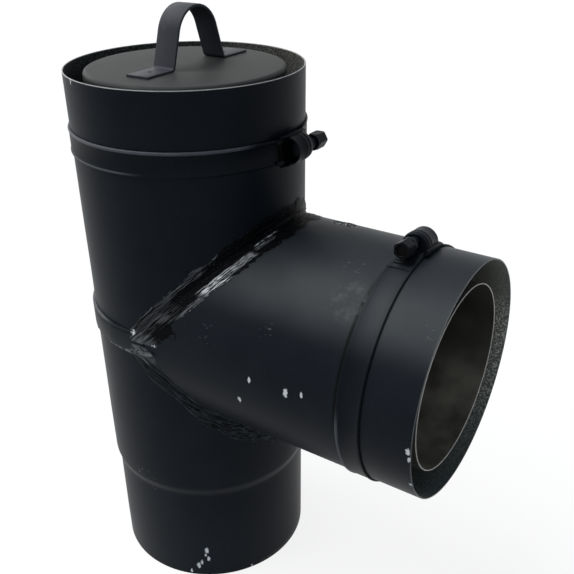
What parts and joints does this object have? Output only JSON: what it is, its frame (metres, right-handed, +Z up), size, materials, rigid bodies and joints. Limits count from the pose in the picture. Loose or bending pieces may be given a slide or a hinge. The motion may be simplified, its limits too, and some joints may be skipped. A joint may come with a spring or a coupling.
{
  "type": "pellet vent tee",
  "caption": "Double-wall stove pipe tee with a mitred side branch, worm-drive clamps on its female ends and a lift-off clean-out cap with a strap handle.",
  "frame": {"origin": "centre of the male end's rim, on the axis of the run, where the tee stands", "axes": "+Z up the run, towards the cap; +X along the branch, out of its mouth"},
  "size_m": [0.2365, 0.13, 0.3451],
  "materials": {
    "casing_paint": "matt black stove paint",
    "cap_paint": "matt black stove paint",
    "clamp_paint": "satin black paint",
    "sealant": "glossy black sealant",
    "liner_steel": "dull oxidised steel",
    "spacer_steel": "dull steel"
  },
  "bodies": {
    "tee": {"upper_casing": "casing_paint", "lower_casing": "casing_paint", "branch_casing": "casing_paint", "joint_band": "casing_paint", "upper_seam_sealant": "sealant", "lower_seam_sealant": "sealant", "run_liner": "liner_steel", "branch_liner": "liner_steel", "upper_spacers": "spacer_steel", "base_spacers": "spacer_steel", "branch_spacers": "spacer_steel", "upper_clamp_band": "clamp_paint", "upper_clamp_saddle": "clamp_paint", "upper_clamp_housing": "clamp_paint", "branch_clamp_band": "clamp_paint", "branch_clamp_saddle": "clamp_paint", "branch_clamp_housing": "clamp_paint"},
    "cap": {"cap_lid": "cap_paint", "cap_handle": "cap_paint"},
    "upper_worm": {"upper_clamp_screw": "clamp_paint"},
    "branch_worm": {"branch_clamp_screw": "clamp_paint"}
  },
  "joints": [
    {"name": "cap_lift", "type": "slide", "parent": "tee", "child": "cap", "axis": [0, 0, 1], "range_m": [0, 0.03]},
    {"name": "upper_worm_turn", "type": "hinge", "parent": "tee", "child": "upper_worm", "pos_m": [0.07079, 0.00099, 0.281], "axis": [-0.014, 0.9999, 0], "continuous": true},
    {"name": "branch_worm_turn", "type": "hinge", "parent": "tee", "child": "branch_worm", "pos_m": [0.1385, 0.00435, 0.24636], "axis": [0, -0.998, 0.0628], "continuous": true}
  ]
}
